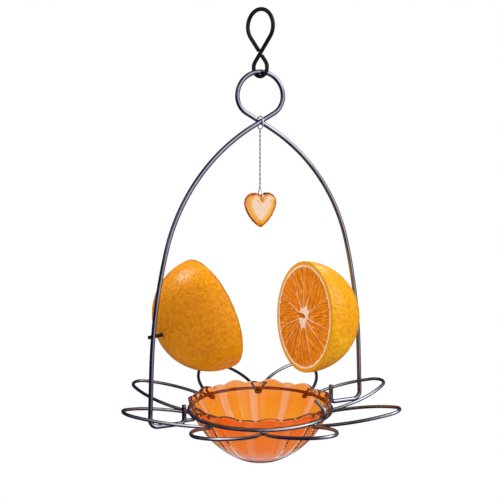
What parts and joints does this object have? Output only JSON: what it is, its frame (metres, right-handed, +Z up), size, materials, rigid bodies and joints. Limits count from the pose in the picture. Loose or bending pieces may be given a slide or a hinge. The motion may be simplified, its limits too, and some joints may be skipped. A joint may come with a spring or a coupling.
{
  "type": "oriole feeder",
  "caption": "Hanging oriole feeder: a wire bow on a closed hook holds a fluted amber glass cup in a ring, with petal perches, orange halves on spikes and a crystal heart.",
  "frame": {"origin": "inside top of the hook's upper eye, where it bears on what it hangs from", "axes": "+Z up, +X to the right along the plane of the hanger bow, -Y to the front"},
  "size_m": [0.1904, 0.1904, 0.2951],
  "materials": {
    "hook_black": "satin black",
    "dark_wire": "satin gunmetal",
    "amber_glass": "glossy, amber shading to rose",
    "silver_wire": "bright",
    "amber_crystal": "polished and faceted",
    "orange_flesh": "moist, pored peel"
  },
  "bodies": {
    "hook": {"s_hook": "hook_black"},
    "frame": {"hanger_bow": "dark_wire", "spike_left": "hook_black", "spike_right": "hook_black", "cup_ring": "dark_wire", "perch_petal_1": "dark_wire", "perch_petal_2": "dark_wire", "perch_petal_3": "dark_wire", "perch_petal_4": "dark_wire", "perch_petal_5": "dark_wire", "perch_petal_6": "dark_wire", "perch_petal_7": "dark_wire", "perch_petal_8": "dark_wire", "glass_cup": "amber_glass", "orange_half_left": "orange_flesh", "orange_half_right": "orange_flesh"},
    "pendant": {"pendant_wire": "silver_wire"},
    "heart": {"crystal_heart": "amber_crystal"}
  },
  "joints": [
    {"name": "frame_swing", "type": "hinge", "parent": "hook", "child": "frame", "pos_m": [0, 0, -0.03795], "axis": [1, 0, 0], "range_deg": [-30, 30]},
    {"name": "pendant_swing", "type": "hinge", "parent": "frame", "child": "pendant", "pos_m": [0, 0, -0.07031], "axis": [1, 0, 0], "range_deg": [-30, 30]},
    {"name": "heart_swing", "type": "hinge", "parent": "pendant", "child": "heart", "pos_m": [0, 0, -0.11931], "axis": [0, 1, 0], "range_deg": [-30, 30]}
  ]
}
